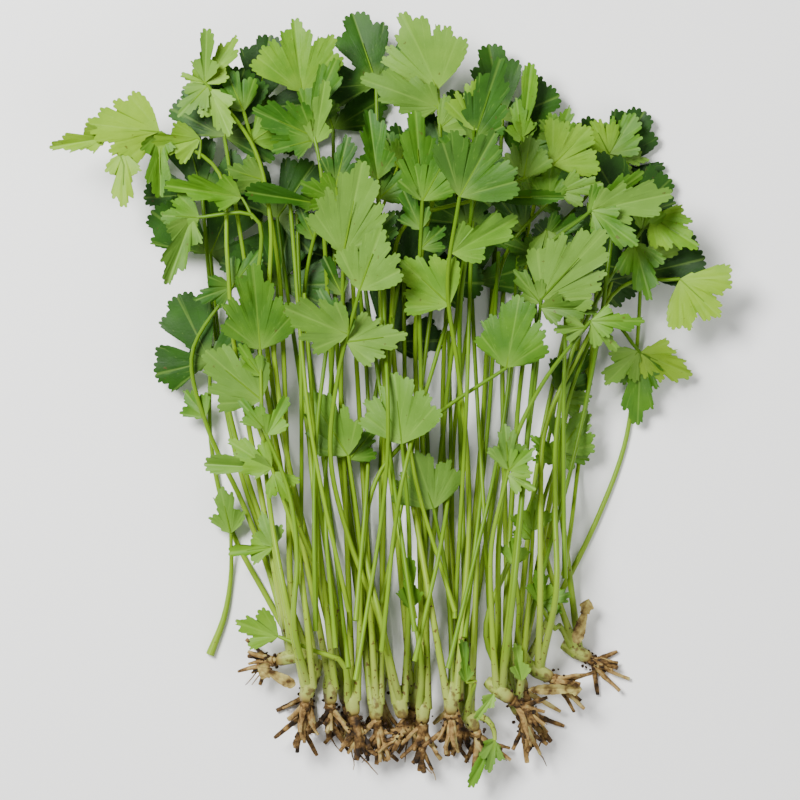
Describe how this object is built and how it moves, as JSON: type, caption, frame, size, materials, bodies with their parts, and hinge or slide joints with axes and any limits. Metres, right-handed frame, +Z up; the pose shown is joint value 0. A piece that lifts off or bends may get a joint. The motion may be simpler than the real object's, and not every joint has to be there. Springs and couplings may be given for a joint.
{
  "type": "coriander bunch",
  "caption": "Loose heap of young coriander plants on its side: cut fan-shaped leaves on long pale stalks, with pale crowns and short brown roots at the other end.",
  "frame": {"origin": "under the middle of the heap, at the level of the surface it lies on", "axes": "+Z up from the surface, +Y along the stalks towards the leaves, -Y towards the roots, +X to the right seen from above"},
  "size_m": [0.3424, 0.3914, 0.0897],
  "materials": {
    "leaf": "fresh green leaf and stalk, soft sheen",
    "root": "earthy brown root, dry and rough",
    "withered": "dry straw-coloured leaf, matt"
  },
  "bodies": {
    "root": {"broken_leaf": "leaf", "plant_01": "leaf", "plant_02": "leaf", "plant_03": "leaf", "plant_04": "leaf", "plant_05": "leaf", "plant_06": "leaf", "plant_07": "leaf", "plant_08": "leaf", "plant_09": "leaf", "plant_10": "leaf", "plant_11": "leaf", "plant_12": "leaf", "plant_13": "leaf", "plant_14": "leaf", "plant_15": "leaf", "plant_16": "leaf", "plant_17": "leaf", "plant_18": "leaf", "plant_19": "leaf", "root_01": "root", "root_02": "root", "root_03": "root", "root_04": "root", "root_05": "root", "root_06": "root", "root_07": "root", "root_08": "root", "root_09": "root", "root_10": "root", "root_11": "root", "root_12": "root", "root_13": "root", "root_14": "root", "root_15": "root", "root_16": "root", "root_17": "root", "root_18": "root", "root_19": "root", "seed_leaf_1": "leaf", "seed_leaf_2": "leaf", "withered_scrap_1": "withered", "withered_scrap_2": "withered", "withered_scrap_3": "withered"}
  },
  "joints": []
}
